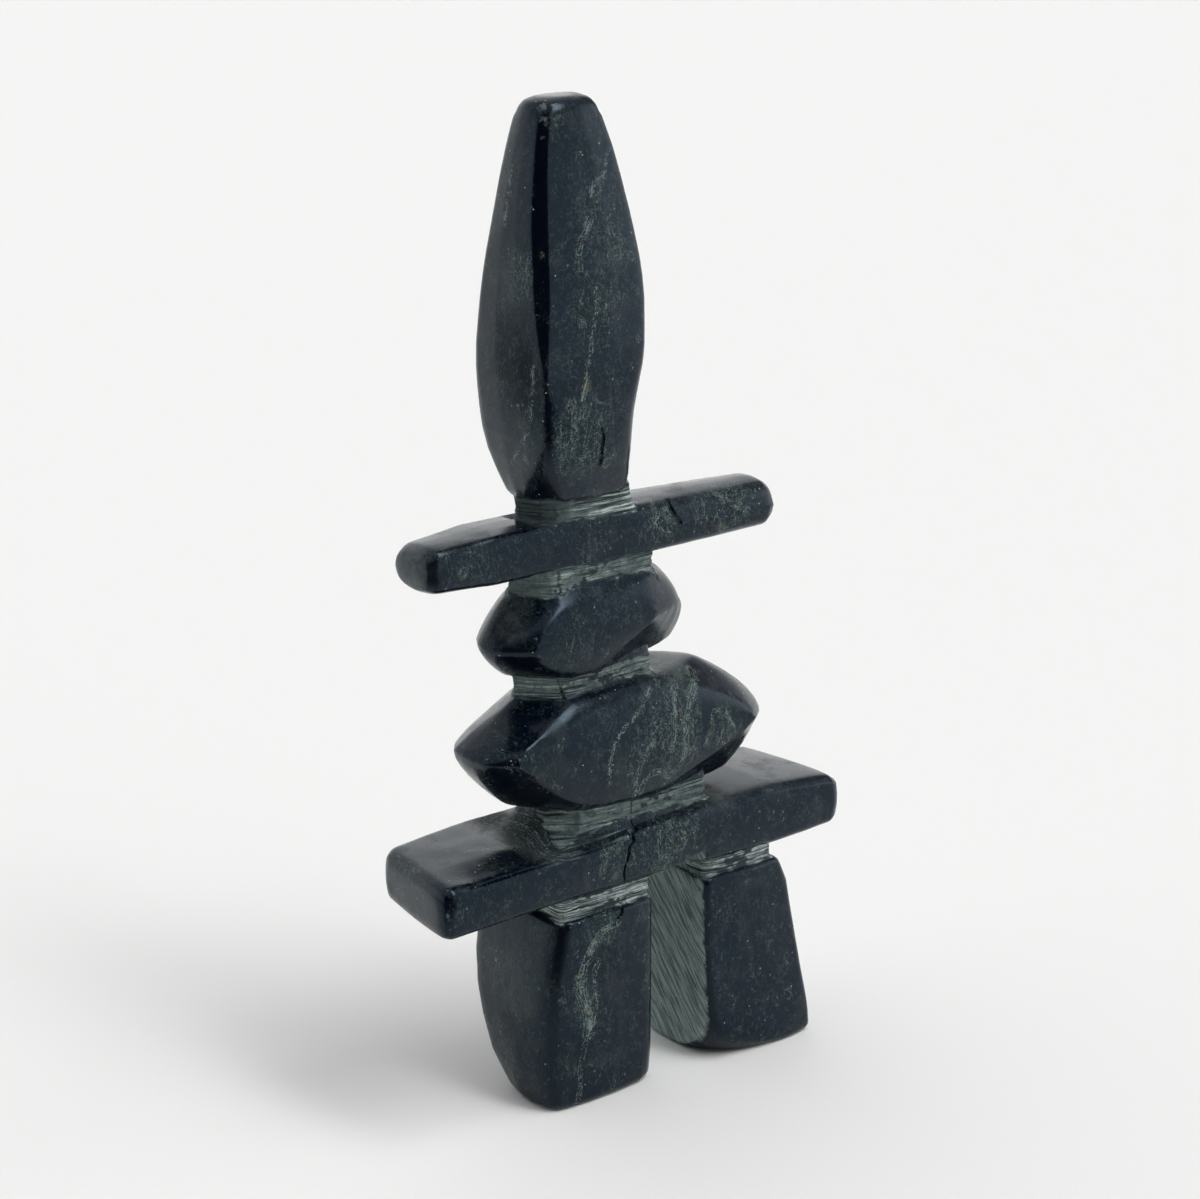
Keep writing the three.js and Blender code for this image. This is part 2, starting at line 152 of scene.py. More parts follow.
def grain(points, size, seed):
    """Smooth random values from -1 to 1, over cells of that size along x, y and z."""
    count = 48
    lattice = np.random.default_rng(seed).uniform(-1, 1, (count, count, count))
    place = points / np.array(size)
    cell = np.floor(place).astype(int)
    part = place - cell
    part = part * part * (3 - 2 * part)
    total = np.zeros(len(points))
    for corner in np.ndindex(2, 2, 2):
        weight = np.prod(np.where(corner, part, 1 - part), axis=1)
        i, j, k = ((cell + corner) % count).T
        total += weight * lattice[i, j, k]
    return total


def outside(points, middle, half):
    """How far each point is from a box, less than 0 inside it."""
    gap = np.abs(points - np.array(middle)) - np.array(half)
    return np.linalg.norm(np.maximum(gap, 0), axis=1) + np.minimum(gap.max(axis=1), 0)


def near_necks(points):
    """1 on the necks and the rims beside them, falling to 0 on the stones."""
    ragged = 0.7 * grain(points, (4, 4, 1.5), 5) + 0.4 * grain(points, (1, 1, 1), 6)
    distance = np.min([outside(points, middle, half) for middle, half in necks], axis=0)
    return 1 - ease(0.6, 1.5, distance + ragged)


points, normals = surface()
rough = near_necks(points)
level = ease(0.6, 0.85, np.abs(normals[:, 2]))
layers = 0.42 * grain(points, (22, 22, 1.2), 11) + 0.12 * grain(points, (7, 7, 0.8), 12)
splits = -0.7 * ease(0.14, 0.0, np.abs(grain(points, (18, 18, 1.6), 13)))
flaked = -0.35 * ease(0.35, 0.5, grain(points, (4, 4, 1.4), 10))
sawn_across = 0.22 * grain(points, (11, 1.0, 3), 14)
broken = 0.22 * grain(points, (3, 3, 2), 15)
facing_front = 0.35 + 0.65 * np.abs(normals[:, 1])
sunk = 0.1
height = facing_front * (1 - level) * (layers + splits + flaked)
height = height + level * sawn_across + facing_front * broken - sunk


# The gap. The hole between the legs is sawn right through, and its faces are filed slantwise,
# towards the floor at the front, and left matt.
gap_left, gap_right = 0.6, 21.6
gap_top = 73
arch_foot = 60


def in_gap(points, normals):
    """1 on the faces of the legs and the lintel that look into the gap between the legs."""
    x, _, z = points.T
    ragged = 0.5 * grain(points, (1.2, 1.2, 1.2), 7) + 0.4 * grain(points, (4, 4, 4), 8)
    inside = (z < gap_top) & (x > gap_left) & (x < gap_right)
    sideways = ease(0.8, 0.97, np.abs(normals[:, 0]) + 0.12 * ragged)
    overhead = ease(0.6, 0.85, -normals[:, 2]) * (z > arch_foot)
    return inside * np.maximum(sideways, overhead)


filed = in_gap(points, normals)
slant = math.radians(48)
x, y, z = points.T
along_stroke = y * math.cos(slant) + z * math.sin(slant)
across_stroke = z * math.cos(slant) - y * math.sin(slant)
turned = np.stack([x, along_stroke, across_stroke], axis=1)
strokes = 0.16 * grain(turned, (4, 12, 1.1), 16) + 0.10 * grain(points, (1, 1, 1), 17)
swell = 0.13 * grain(points, (13, 13, 17), 18) + 0.05 * grain(points, (5, 5, 7), 19)


# The scrape. Left of the neck on the lintel a curved file has left a ramp of scratches round the
# foot of the neck, and less of it at the right. All that the tools left is cut here, and the mesh
# is then thinned to what a reusable part may hold.
lintel_neck = necks[2]
lintel_shoulder = 79


def scraped(points, normals):
    """1 where the lintel's top is scraped beside the neck, falling to 0 round it."""
    x, _, z = points.T
    distance = outside(points, *lintel_neck) + 2.5 * grain(points, (6, 6, 3), 9)
    left = ease(17, 3, distance) * ease(-24, -30, x)
    right = ease(5, 2, distance) * ease(24, 28, x)
    top = ease(0.1, 0.5, normals[:, 2]) * (z > lintel_shoulder) * (z < 93)
    return np.maximum(left, 0.8 * right) * top


def round_neck(points):
    """How far from the lintel's neck each point lies, in millimetres, across the scratches."""
    return outside(points, *lintel_neck) + 0.25 * grain(points, (7, 7, 7), 31)


def dip_depth(points, normals):
    """How far the front of the lintel's top is rubbed down left of the neck, in millimetres."""
    x, y, z = points.T
    along = ease(-74, -62, x) * ease(-6, -18, x)
    front = ease(-5, -17, y)
    return along * front * ease(0.3, 0.7, normals[:, 2]) * (z > lintel_shoulder) * (z < 90)


def reshape(points):
    """Puts the figure's points back, from millimetres."""
    figure.data.vertices.foreach_set("co", (points / 1000).astype(np.float32).ravel())
    figure.data.update()


scratch_place = np.stack([round_neck(points), x * 0.1, y * 0.1], axis=1)
scratches = 0.08 * grain(scratch_place, (0.8, 1, 1), 32)
raised = rough * height + (1 - rough) * (filed * strokes + (1 - filed) * swell)
raised += (1 - rough) * scraped(points, normals) * scratches
raised -= (1 - rough) * dip_depth(points, normals)
lowest, highest = (np.array(corner) * 1000 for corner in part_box("inukshuk"))
reshape(np.clip(points + normals * raised[:, None], lowest, highest))

triangles = sum(len(face.vertices) - 2 for face in figure.data.polygons)
kept_triangles = 105000
apply_modifier(figure, "DECIMATE", ratio=min(1, kept_triangles / triangles))


# The cracks. They are narrow breaks in the stone with ragged lips. The longest runs down the front
# of the lintel into the left leg. Others split the corners of two necks, and the last two are short
# gouges on the head and on the arm.
def laid(path):
    """A smooth line through the points of a path, laid on the stone's surface."""
    spacing = 1.2
    path = np.array([path[0], *path, path[-1]], float)
    steps = []
    for before, start, end, after in zip(path, path[1:], path[2:], path[3:]):
        count = max(1, round(np.linalg.norm(end - start) / spacing))
        for share in np.arange(count) / count:
            bend = (2 * before - 5 * start + 4 * end - after) * share**2
            bend += (3 * start - before - 3 * end + after) * share**3
            steps.append(start + 0.5 * ((end - before) * share + bend))
    steps.append(path[-1])
    return np.array([figure.closest_point_on_mesh(tuple(step / 1000))[1] for step in steps]) * 1000


def to_path(points, path):
    """How far each point is from a path, and how far along it the nearest place is, 0 to 1."""
    looked_at = 6  # points that are further off than this count as endlessly far
    nearest = np.full(len(points), np.inf)
    along = np.zeros(len(points))
    for i, (start, end) in enumerate(zip(path[:-1], path[1:])):
        step = end - start
        close = np.abs(points - (start + end) / 2).max(axis=1) < looked_at
        share = np.clip((points[close] - start) @ step / (step @ step + 1e-9), 0, 1)
        distance = np.linalg.norm(points[close] - start - share[:, None] * step, axis=1)
        closer = distance < nearest[close]
        nearest[close] = np.where(closer, distance, nearest[close])
        along[close] = np.where(closer, (i + share) / (len(path) - 1), along[close])
    return nearest, along


def refine(distance, reach, longest):
    """Cuts the figure's faces within that reach until their edges are that short."""
    for _ in range(6):
        points = surface()[0]
        ends = np.empty(len(figure.data.edges) * 2, int)
        figure.data.edges.foreach_get("vertices", ends)
        ends = ends.reshape(-1, 2)
        length = np.linalg.norm(points[ends[:, 0]] - points[ends[:, 1]], axis=1)
        gap = distance(points)[ends].min(axis=1)
        chosen = (gap < reach + 0.3 * length) & (length > longest)
        if not chosen.any():
            break
        for kind in (figure.data.vertices, figure.data.edges, figure.data.polygons):
            kind.foreach_set("select", np.zeros(len(kind), bool))
        figure.data.edges.foreach_set("select", chosen)
        bpy.context.tool_settings.mesh_select_mode = (False, True, False)
        bpy.ops.object.mode_set(mode="EDIT")
        bpy.ops.mesh.subdivide(number_cuts=1)
        bpy.ops.mesh.select_all(action="SELECT")
        bpy.ops.mesh.quads_convert_to_tris()
        bpy.ops.object.mode_set(mode="OBJECT")


def shaken(points, amount, size, seeds):
    """The points shifted at random by up to that amount, so that what follows them wavers."""
    return points + amount * np.stack([grain(points, size, seed) for seed in seeds], axis=1)


cracks = [  # half the breadth of each crack at its two ends, how deep it is, and its course
    (0.15, 0.30, 0.5,
     [(-5.2, -13.4, 93.2), (-4.9, -14.4, 90.6), (-5.6, -15.6, 87.6), (-5.6, -18.0, 85.6)]),
    (0.70, 0.35, 0.9,
     [(-5.6, -18.0, 85.6), (-8.3, -19.5, 84.3), (-8.6, -20.4, 82.2), (-9.8, -20.4, 80.6)]),
    (0.35, 0.30, 0.8,
     [(-9.8, -20.4, 80.6), (-11.2, -20.5, 76.4), (-12.2, -20.6, 74.2), (-11.8, -20.2, 69.4)]),
    (0.60, 0.25, 0.7,
     [(-11.6, -18.6, 62.2), (-13.3, -20.6, 60.2), (-15.3, -20.9, 58.2), (-16.5, -20.9, 56.6)]),
    (0.55, 0.45, 0.7,
     [(-28.6, -10.2, 166.6), (-28.3, -10.4, 164.0), (-28.4, -10.9, 161.4)]),
    (0.40, 0.60, 0.7,
     [(-29.2, -10.1, 134.4), (-28.6, -10.5, 132.1), (-28.0, -11.2, 129.6)]),
    (0.55, 0.75, 0.6,
     [(-19.4, -18.9, 209.5), (-18.6, -17.9, 204.0), (-18.2, -16.5, 199.0)]),
    (0.60, 0.80, 0.6,
     [(14.2, -7.7, 182.5), (13.4, -9.9, 180.2), (14.2, -10.9, 177.6), (16.2, -10.9, 175.2)]),
]
cracks = [(start, end, depth, laid(path)) for start, end, depth, path in cracks]


def to_cracks(points):
    """How far each point is from the nearest crack."""
    return np.min([to_path(points, path)[0] for *_, path in cracks], axis=0)


def crack_depth(points):
    """How deep the cracks are at each point, in millimetres."""
    wavering = shaken(points, 0.4, (2, 2, 2), (21, 22, 23))
    deepest = np.zeros(len(points))
    for start, end, depth, path in cracks:
        distance, along = to_path(wavering, path)
        breadth = start + (end - start) * along
        deepest = np.maximum(deepest, depth * ease(1.5, 0.5, distance / breadth))
    return deepest


refine(to_cracks, 1.2, 0.25)
points, normals = surface()
reshape(points - normals * crack_depth(points)[:, None])


# The chips. Small flakes have come off the corners: beside the long crack, at the top of the head's
# front edge, at the left end of the lintel and on the rim of the lower belly.
chips = [  # the middle and the size of each chip
    ((-29.0, -4.6, 300.3), 1.5),
    ((-30.1, -6.4, 296.7), 0.9),
    ((-31.1, -7.3, 291.6), 0.7),
    ((-74.7, -17.5, 82.5), 0.8),
    ((-75.9, -20.0, 75.6), 0.7),
    ((-7.1, -17.8, 84.4), 1.4),
    ((32.0, -18.5, 125.0), 0.6),
]
deepest_chip = 0.35


def from_middle(points, middle):
    """How far each point is from one place."""
    return np.linalg.norm(points - np.array(middle), axis=1)


def to_chips(points):
    """How far each point is from the rim of the nearest chip."""
    return np.min([from_middle(points, middle) - size for middle, size in chips], axis=0)


def in_chips(points):
    """1 in the chips, falling to 0 at their ragged rims."""
    uneven = shaken(points, 0.5, (1, 1, 1), (33, 34, 35))
    sizes = [from_middle(uneven, middle) / size for middle, size in chips]
    return ease(1.2, 0.5, np.min(sizes, axis=0))


refine(to_chips, 0.5, 0.3)
points, normals = surface()
reshape(points - deepest_chip * normals * in_chips(points)[:, None])


# The veins. Pale green threads run through the whole block, thick on the right of the lower belly
# and down the left leg. The mesh is cut finer along them, and every point of it is then marked with
# what the stone is like there.
veins = [  # half the breadth of each vein, and its course
    (0.9, [(20.9, -11.0, 128.5), (19.3, -14.8, 126.0), (14.7, -18.5, 121.5), (11.6, -19.9, 116.1)]),
    (0.7, [(11.6, -19.9, 116.1), (12.0, -20.0, 108.0), (10.9, -18.6, 101.4), (7.6, -17.8, 98.7)]),
    (0.5, [(7.6, -17.8, 98.7), (0.9, -18.8, 101.5), (-2.5, -18.2, 99.5), (-3.1, -16.6, 94.4)]),
    (0.4, [(9.0, -17.2, 125.5), (7.9, -19.6, 118.4), (7.7, -20.4, 112.3), (6.3, -20.2, 107.7)]),
    (0.3, [(0.6, -16.5, 127.6), (-4.4, -18.5, 122.9), (-9.4, -19.4, 119.8), (-13.6, -20.1, 116.8)]),
    (0.3, [(-13.6, -20.1, 116.8), (-16.6, -20.4, 113.5), (-17.4, -20.0, 107.3), (-16.4, -18.8, 101.0)]),
    (0.4, [(-1.1, -19.3, 112.4), (-5.1, -19.9, 105.7), (-5.9, -18.6, 99.8), (-4.5, -15.0, 92.6)]),
    (0.3, [(20.0, -19.6, 106.1), (22.4, -20.0, 115.0), (27.0, -19.9, 116.5), (31.8, -19.9, 109.2)]),
    (0.8, [(-14.8, -20.9, 58.0), (-21.3, -20.4, 55.4), (-25.8, -20.8, 49.9), (-28.8, -20.7, 42.8)]),
    (1.3, [(-28.8, -20.7, 42.8), (-28.4, -20.8, 36.0), (-26.4, -20.9, 31.0), (-26.4, -20.9, 25.0)]),
    (0.4, [(-26.4, -20.9, 25.0), (-28.3, -20.8, 15.5), (-30.1, -20.6, 3.2)]),
    (0.3, [(-22.6, -20.9, 47.0), (-24.0, -20.9, 40.2), (-23.2, -20.9, 33.0), (-25.4, -20.9, 22.0)]),
    (0.5, [(-56.0, 1.0, 84.0), (-46.0, -4.5, 84.2), (-37.0, -9.0, 84.8), (-28.0, -14.0, 86.2)]),
    (0.3, [(-9.7, -9.1, 286.9), (-12.1, -10.2, 281.1), (-16.6, -11.0, 277.5), (-18.2, -12.2, 269.7)]),
    (0.5, [(-18.2, -12.2, 269.7), (-20.2, -12.9, 265.2), (-23.1, -13.5, 261.6), (-24.0, -14.6, 255.1)]),
    (0.3, [(-19.0, -15.5, 249.7), (-20.4, -16.8, 240.9), (-22.3, -17.8, 234.2), (-27.0, -19.3, 218.7)]),
    (0.3, [(-39.3, -13.4, 229.5), (-39.5, -11.6, 219.1), (-39.3, -10.7, 211.4), (-37.7, -0.2, 199.5)]),
    (0.3, [(-35.2, 2.3, 281.5), (-36.1, 1.6, 275.3)]),
    (0.35, [(-36.4, 2.6, 273.3), (-37.2, 2.6, 267.2)]),
    (0.3, [(8.2, -6.7, 182.6), (6.9, -10.8, 177.4), (12.0, -10.7, 172.0)]),
    (0.3, [(33.4, -9.4, 181.8), (38.3, -10.8, 177.2), (43.6, -10.9, 174.9)]),
]
veins = [(width, laid(path)) for width, path in veins]
crowds = [  # where the threads and flecks crowd together, how far and how much
    ((4, -20, 113), 15, 1.0),
    ((26, -19, 110), 7, 0.9),
    ((-27, -20, 35), 9, 0.8),
    ((-20, -20, 56), 8, 0.7),
    ((-26, -16, 208), 14, 1.0),
    ((-20, -13, 240), 12, 0.6),
    ((-14, -12, 265), 14, 0.5),
    ((10, -11, 176), 8, 0.9),
    ((36, -11, 177), 14, 1.0),
    ((-16, -11, 175), 9, 0.5),
    ((-60, -10, 176), 8, 0.4),
    ((-38, -6, 254), 8, 0.9),
    ((-17, -20, 76), 10, 0.6),
    ((4, -20, 78), 13, 0.9),
    ((10, -16, 129), 10, 0.8),
    ((-27, -20, 145), 9, 0.6),
]
dust_places = [  # where fine dust has dulled the polish, how far and how much
    ((-76, -1, 175), 9, 0.9),
    ((-77, 4, 76), 14, 0.30),
    ((-42, -3, 154), 9, 0.5),
    ((-58, 0, 183), 12, 0.25),
    ((14, -8, 132), 9, 0.8),
    ((28, -15, 86), 7, 0.8),
    ((-42, 0, 38), 14, 0.35),
    ((-43, 5, 12), 12, 0.35),
    ((-38, -3, 252), 8, 0.25),
]


def to_veins(points):
    """How far each point is from the nearest vein."""
    return np.min([to_path(points, path)[0] for _, path in veins], axis=0)


def mark(name, values):
    """Keeps a value for each point of the figure, for its material."""
    kept = figure.data.attributes.get(name) or figure.data.attributes.new(name, "FLOAT", "POINT")
    kept.data.foreach_set("value", np.asarray(values, np.float32))


refine(to_veins, 1.6, 0.6)
bpy.ops.object.shade_smooth()

points, normals = surface()
mark("sawn", near_necks(points))
mark("filed", in_gap(points, normals))
mark("scraped", scraped(points, normals))
mark("round_neck", round_neck(points))
mark("cracked", ease(0.15, 0.45, crack_depth(points)))
mark("chipped", in_chips(points))

# Veined is 1 along the middle of a vein, and aside is the distance from it in millimetres.
wavering = shaken(points, 0.7, (3, 3, 4), (24, 25, 26))
veined = np.zeros(len(points))
aside = np.full(len(points), 6.0)
for width, path in veins:
    distance = to_path(wavering, path)[0]
    veined = np.maximum(veined, 1 - distance / (2.2 * width + 0.6))
    aside = np.minimum(aside, distance)
mark("veined", veined)
mark("aside", aside)

# Fresh is 1 where a neck was cut last and is palest, at the legs and at the right under the head,
# and -1 at the left under the head, where the neck is darkened with painted shade. Flush is 1 on
# the left ends of the upper belly's two necks.
x, _, z = points.T
under_head = ease(178, 180, z)
mark("fresh_and_shade", ease(75, 74, z) + under_head * (2 * ease(-26, -21, x) - 1))
mark("flush", ease(0.6, 0.9, -normals[:, 0]) * ease(125, 127, z) * ease(172, 170, z))

# Clear is 1 on the upright corner faces that look to the front left. There the stone is painted
# near black without its clouds and flecks, a painted dark reflection.
front_left = np.array((-0.616, -0.788))
heading = normals[:, :2] / (np.linalg.norm(normals[:, :2], axis=1)[:, None] + 0.01)
mark("clear", ease(0.90, 0.97, heading @ front_left) * (normals[:, 2] < 0.4))

uneven = 0.3 * grain(points, (5, 5, 8), 30)
for name, places in (("crowded", crowds), ("dusty", dust_places)):
    share = np.zeros(len(points))
    for middle, radius, strength in places:
        reach = from_middle(points, middle) / radius
        share = np.maximum(share, strength * ease(1.2, 0.4, reach + uneven))
    mark(name, share)


# The stone. It is nearly black blue-green serpentine with clouds, flecks, pits and pale threads,
# rubbed to a soft shine. Where it is only sawn, filed or scraped it is pale and matt.
deep_blue = (0.0011, 0.0033, 0.0110)
deep_green = (0.0015, 0.0054, 0.0088)
blue_cloud = (0.0052, 0.0084, 0.0145)
grey_cloud = (0.0095, 0.0160, 0.0205)
grey_fleck = (0.033, 0.050, 0.056)
black_fleck = (0.0006, 0.0010, 0.0022)
rubbed_haze = (0.026, 0.029, 0.033)
fine_dust = (0.090, 0.104, 0.104)
painted_dark_reflection = (0.0012, 0.0022, 0.0060)
soft_green = (0.030, 0.054, 0.048)
pale_green = (0.210, 0.272, 0.250)
ochre = (0.220, 0.212, 0.130)
white_speck = (0.34, 0.38, 0.36)
pit_black = (0.0006, 0.0010, 0.0018)
dark_layer = (0.014, 0.020, 0.021)
grey_layer = (0.130, 0.168, 0.160)
pale_layer = (0.36, 0.42, 0.40)
fresh_layer = (0.56, 0.62, 0.60)
handled_neck = (0.040, 0.055, 0.056)
flush_neck = (0.105, 0.140, 0.132)
painted_neck_shade_colour = (0.020, 0.027, 0.028)
neck_blotch = (0.030, 0.042, 0.042)
neck_dirt = (0.022, 0.032, 0.033)
painted_rim_shadow = (0.004, 0.006, 0.007)
dark_stroke = (0.105, 0.142, 0.136)
pale_stroke = (0.38, 0.46, 0.44)
gap_dirt = (0.035, 0.050, 0.050)
dark_scratch = (0.012, 0.018, 0.019)
pale_scratch = (0.24, 0.285, 0.275)
chip_grey = (0.15, 0.185, 0.180)
crack_black = (0.0010, 0.0012, 0.0015)

serpentine = bpy.data.materials.new("serpentine")
serpentine.use_nodes = True
tree = serpentine.node_tree
shader = tree.nodes["Principled BSDF"]
shader.inputs["IOR"].default_value = 1.37
shader.inputs["Specular Tint"].default_value = (0.60, 0.83, 1.0, 1)


def add_node(nodes_of, kind, links=(), **settings):
    """Adds a node to a material or the world. Its inputs are values or other nodes' outputs."""
    made = nodes_of.nodes.new(kind)
    for name, value in settings.items():
        setattr(made, name, value)
    for socket, value in dict(links).items():
        if isinstance(value, bpy.types.NodeSocket):
            nodes_of.links.new(value, made.inputs[socket])
        else:
            made.inputs[socket].default_value = value
    return made


def node(kind, links=(), **settings):
    """Adds a node to the stone's material."""
    return add_node(tree, kind, links, **settings)


def maths(operation, *values, clamp=False):
    """The result of one operation on one value or more."""
    return node("ShaderNodeMath", enumerate(values), operation=operation, use_clamp=clamp).outputs[0]


def times(one, other):
    """Two values multiplied."""
    return maths("MULTIPLY", one, other)


def more(one, other):
    """Two values added."""
    return maths("ADD", one, other)


def most(*values):
    """The largest of several values."""
    largest = values[0]
    for value in values[1:]:
        largest = maths("MAXIMUM", largest, value)
    return largest


def mixed(one, share, other):
    """So much of one value, and the rest of another."""
    return more(times(one, share), times(other, round(1 - share, 2)))


def swing(value, amount):
    """A value from 0 to 1 turned into one that swings about 0 by that amount in all."""
    return times(more(value, -0.5), amount)


def ramp(value, low, high):
    """0 at low, 1 at high, soft between."""
    links = {"Value": value, "From Min": low, "From Max": high}
    made = node("ShaderNodeMapRange", links, interpolation_type="SMOOTHSTEP")
    return made.outputs["Result"]


def blend(share, one, other):
    """One colour where the share is 0, the other where it is 1."""
    made = node("ShaderNodeMix", data_type="RGBA")
    for socket, value in ((made.inputs[0], share), (made.inputs[6], one), (made.inputs[7], other)):
        if isinstance(value, bpy.types.NodeSocket):
            tree.links.new(value, socket)
        else:
            socket.default_value = (*value, 1)
    return made.outputs[2]


def noise(place, scale, detail=2.0, rough=0.5, bend=0.0):
    """Cloudy random values, most of them near 0.5."""
    links = {"Vector": place, "Scale": scale, "Detail": detail, "Roughness": rough, "Distortion": bend}
    return node("ShaderNodeTexNoise", links).outputs["Fac"]


def thread(place, scale, width, detail=3.0, bend=0.0):
    """1 on thin lines that wind through the stone, 0 between them."""
    off_line = maths("ABSOLUTE", more(noise(place, scale, detail, 0.6, bend), -0.5))
    return ramp(off_line, width, width * 0.2)


def cells(place, scale):
    """The distance to the nearest of many scattered points, and a random value for each point."""
    made = node("ShaderNodeTexVoronoi", {"Vector": place, "Scale": scale})
    parts = node("ShaderNodeSeparateColor", {0: made.outputs["Color"]})
    return made.outputs["Distance"], parts.outputs[0]


def attribute(name):
    """A value that the mesh was marked with."""
    return node("ShaderNodeAttribute", attribute_name=name).outputs["Fac"]


whereabouts = node("ShaderNodeTexCoord").outputs["Object"]


def stretched(x, y, z, turn=0.0):
    """The place on the stone in millimetres, turned round X, then divided by a size on each axis."""
    place = whereabouts
    if turn:
        place = node("ShaderNodeMapping", {"Vector": place, "Rotation": (turn, 0, 0)}).outputs[0]
    scale = (1000 / x, 1000 / y, 1000 / z)
    return node("ShaderNodeMapping", {"Vector": place, "Scale": scale}).outputs[0]


even = stretched(1, 1, 1)
upright = stretched(1, 1, 1.2)
tall = stretched(1, 1, 3.0)
sawn = attribute("sawn")
filed = attribute("filed")
fresh_and_shade = attribute("fresh_and_shade")
clear = attribute("clear")
# Where clear is 1, the painted dark reflection takes the place of the clouds, flecks, haze, pits and
# green.
clouded = ramp(clear, 1.0, 0.0)
crowded = times(attribute("crowded"), ramp(clear, 0.8, 0.2))
veined = attribute("veined")
chipped = attribute("chipped")

cloud = noise(upright, 0.075, 4, 0.6)
tint = noise(upright, 0.14, 4, 0.6)
film = noise(even, 0.10, 3, 0.55)
blot = noise(upright, 0.26, 5, 0.66, 1.0)
mottle = noise(upright, 0.65, 5, 0.70, 1.4)
fine = noise(even, 2.6, 3, 0.6)
dust = noise(even, 5.0, 2, 0.6)

# The ground of the stone, with its clouds, its dark and grey flecks, haze and dust, and a painted
# dark reflection on the faces that look to the front left.
base = blend(ramp(tint, 0.40, 0.60), deep_blue, deep_green)
base = blend(times(ramp(cloud, 0.48, 0.66), 0.6), base, blue_cloud)
base = blend(times(ramp(blot, 0.52, 0.64), 0.55), base, grey_cloud)
flecks = times(ramp(mottle, 0.53, 0.63), ramp(mixed(cloud, 0.5, blot), 0.38, 0.54))
base = blend(times(times(flecks, clouded), 0.75), base, grey_fleck)
base = blend(times(ramp(mottle, 0.48, 0.36), 0.9), base, black_fleck)
haze = times(times(ramp(film, 0.52, 0.68), ramp(dust, 0.34, 0.66)), clouded)
base = blend(times(haze, 0.7), base, rubbed_haze)
dusty = times(attribute("dusty"), ramp(mixed(dust, 0.5, blot), 0.34, 0.60))
base = blend(dusty, base, fine_dust)
# Painted dark reflection: the upright faces that look to the front left are painted near black.
base = blend(times(maths("SUBTRACT", 1.0, clouded), 0.85), base, painted_dark_reflection)
green = times(ramp(mixed(mottle, 0.6, fine), 0.50, 0.60), times(crowded, 0.75))
base = blend(green, base, soft_green)

# Threads, rings, grains, pits and specks that lie all through the block.
rich = more(times(crowded, 0.9), times(ramp(tint, 0.50, 0.66), 0.45))
threads = times(most(thread(tall, 0.22, 0.020, 4, 0.5), thread(upright, 0.45, 0.016)), rich)
threads = times(threads, ramp(fine, 0.38, 0.60))
spot, chance = cells(upright, 0.19)
swirl = mixed(fine, 0.25, mottle)
ring = times(ramp(more(spot, swirl), 0.74, 0.80), ramp(more(spot, swirl), 0.92, 0.83))
ring = times(times(ring, ramp(fine, 0.42, 0.60)), maths("LESS_THAN", chance, times(rich, 0.5)))
grains, chance = cells(upright, 0.50)
grains = ramp(more(grains, more(times(fine, 0.5), times(dust, 0.3))), 0.62, 0.46)
grains = times(grains, maths("LESS_THAN", chance, more(times(rich, 0.40), 0.06)))
pits, chance = cells(even, 0.40)
pitted = times(maths("LESS_THAN", chance, 0.10), clouded)
pits = times(ramp(more(pits, times(fine, 0.3)), 0.32, 0.24), pitted)
specks, chance = cells(even, 0.62)
specks = times(ramp(specks, 0.18, 0.08), maths("LESS_THAN", chance, 0.035))

# The veins that the mesh is marked with: fine lines beside each other round a broken core.
wavy = more(more(swing(mottle, 1.0), swing(fine, 0.8)), swing(dust, 0.4))
in_vein = more(veined, wavy)
winding = more(attribute("aside"), more(swing(mottle, 3.2), swing(fine, 1.2)))
lines = times(ramp(maths("PINGPONG", winding, 0.5), 0.22, 0.05), ramp(in_vein, 0.20, 0.55))
lines = times(lines, ramp(mixed(blot, 0.6, fine), 0.37, 0.50))
core = times(ramp(in_vein, 0.66, 0.95), ramp(mixed(blot, 0.6, cloud), 0.48, 0.58))
small = most(times(threads, 0.6), times(ring, 0.45), times(grains, 0.5))
pale = most(small, times(core, 0.75), times(lines, 0.80))
pale_stone = blend(ramp(noise(even, 0.35, 2), 0.55, 0.63), pale_green, ochre)
polished = blend(pale, base, pale_stone)
polished = blend(specks, polished, white_speck)
polished = blend(times(pits, 0.9), polished, pit_black)

# The sawn necks, in pale and dark layers, with painted shade at the left under the head.
layered = noise(stretched(16, 16, 0.55), 1.0, 4, 0.62)
brightest = blend(fresh_and_shade, pale_layer, fresh_layer)
sawn_stone = blend(ramp(layered, 0.40, 0.47), dark_layer, grey_layer)
sawn_stone = blend(ramp(more(layered, times(fresh_and_shade, 0.05)), 0.55, 0.66), sawn_stone, brightest)
# Handled darkens blotches: less on the fresh cuts, and more at the left under the head, where it adds
# to the painted shade.
handled = times(ramp(blot, 0.46, 0.66), maths("SUBTRACT", 0.75, times(fresh_and_shade, 0.35)))
sawn_stone = blend(handled, sawn_stone, handled_neck)
sawn_stone = blend(times(attribute("flush"), 0.7), sawn_stone, flush_neck)
# Painted shade: the left part of the neck under the head is darkened.
painted_neck_shade = maths("MAXIMUM", times(fresh_and_shade, -1.0), 0.0)
sawn_stone = blend(times(painted_neck_shade, 0.6), sawn_stone, painted_neck_shade_colour)
sawn_stone = blend(times(ramp(mottle, 0.54, 0.66), 0.5), sawn_stone, neck_blotch)
sawn_stone = blend(times(ramp(fine, 0.5, 0.70), 0.5), sawn_stone, neck_dirt)

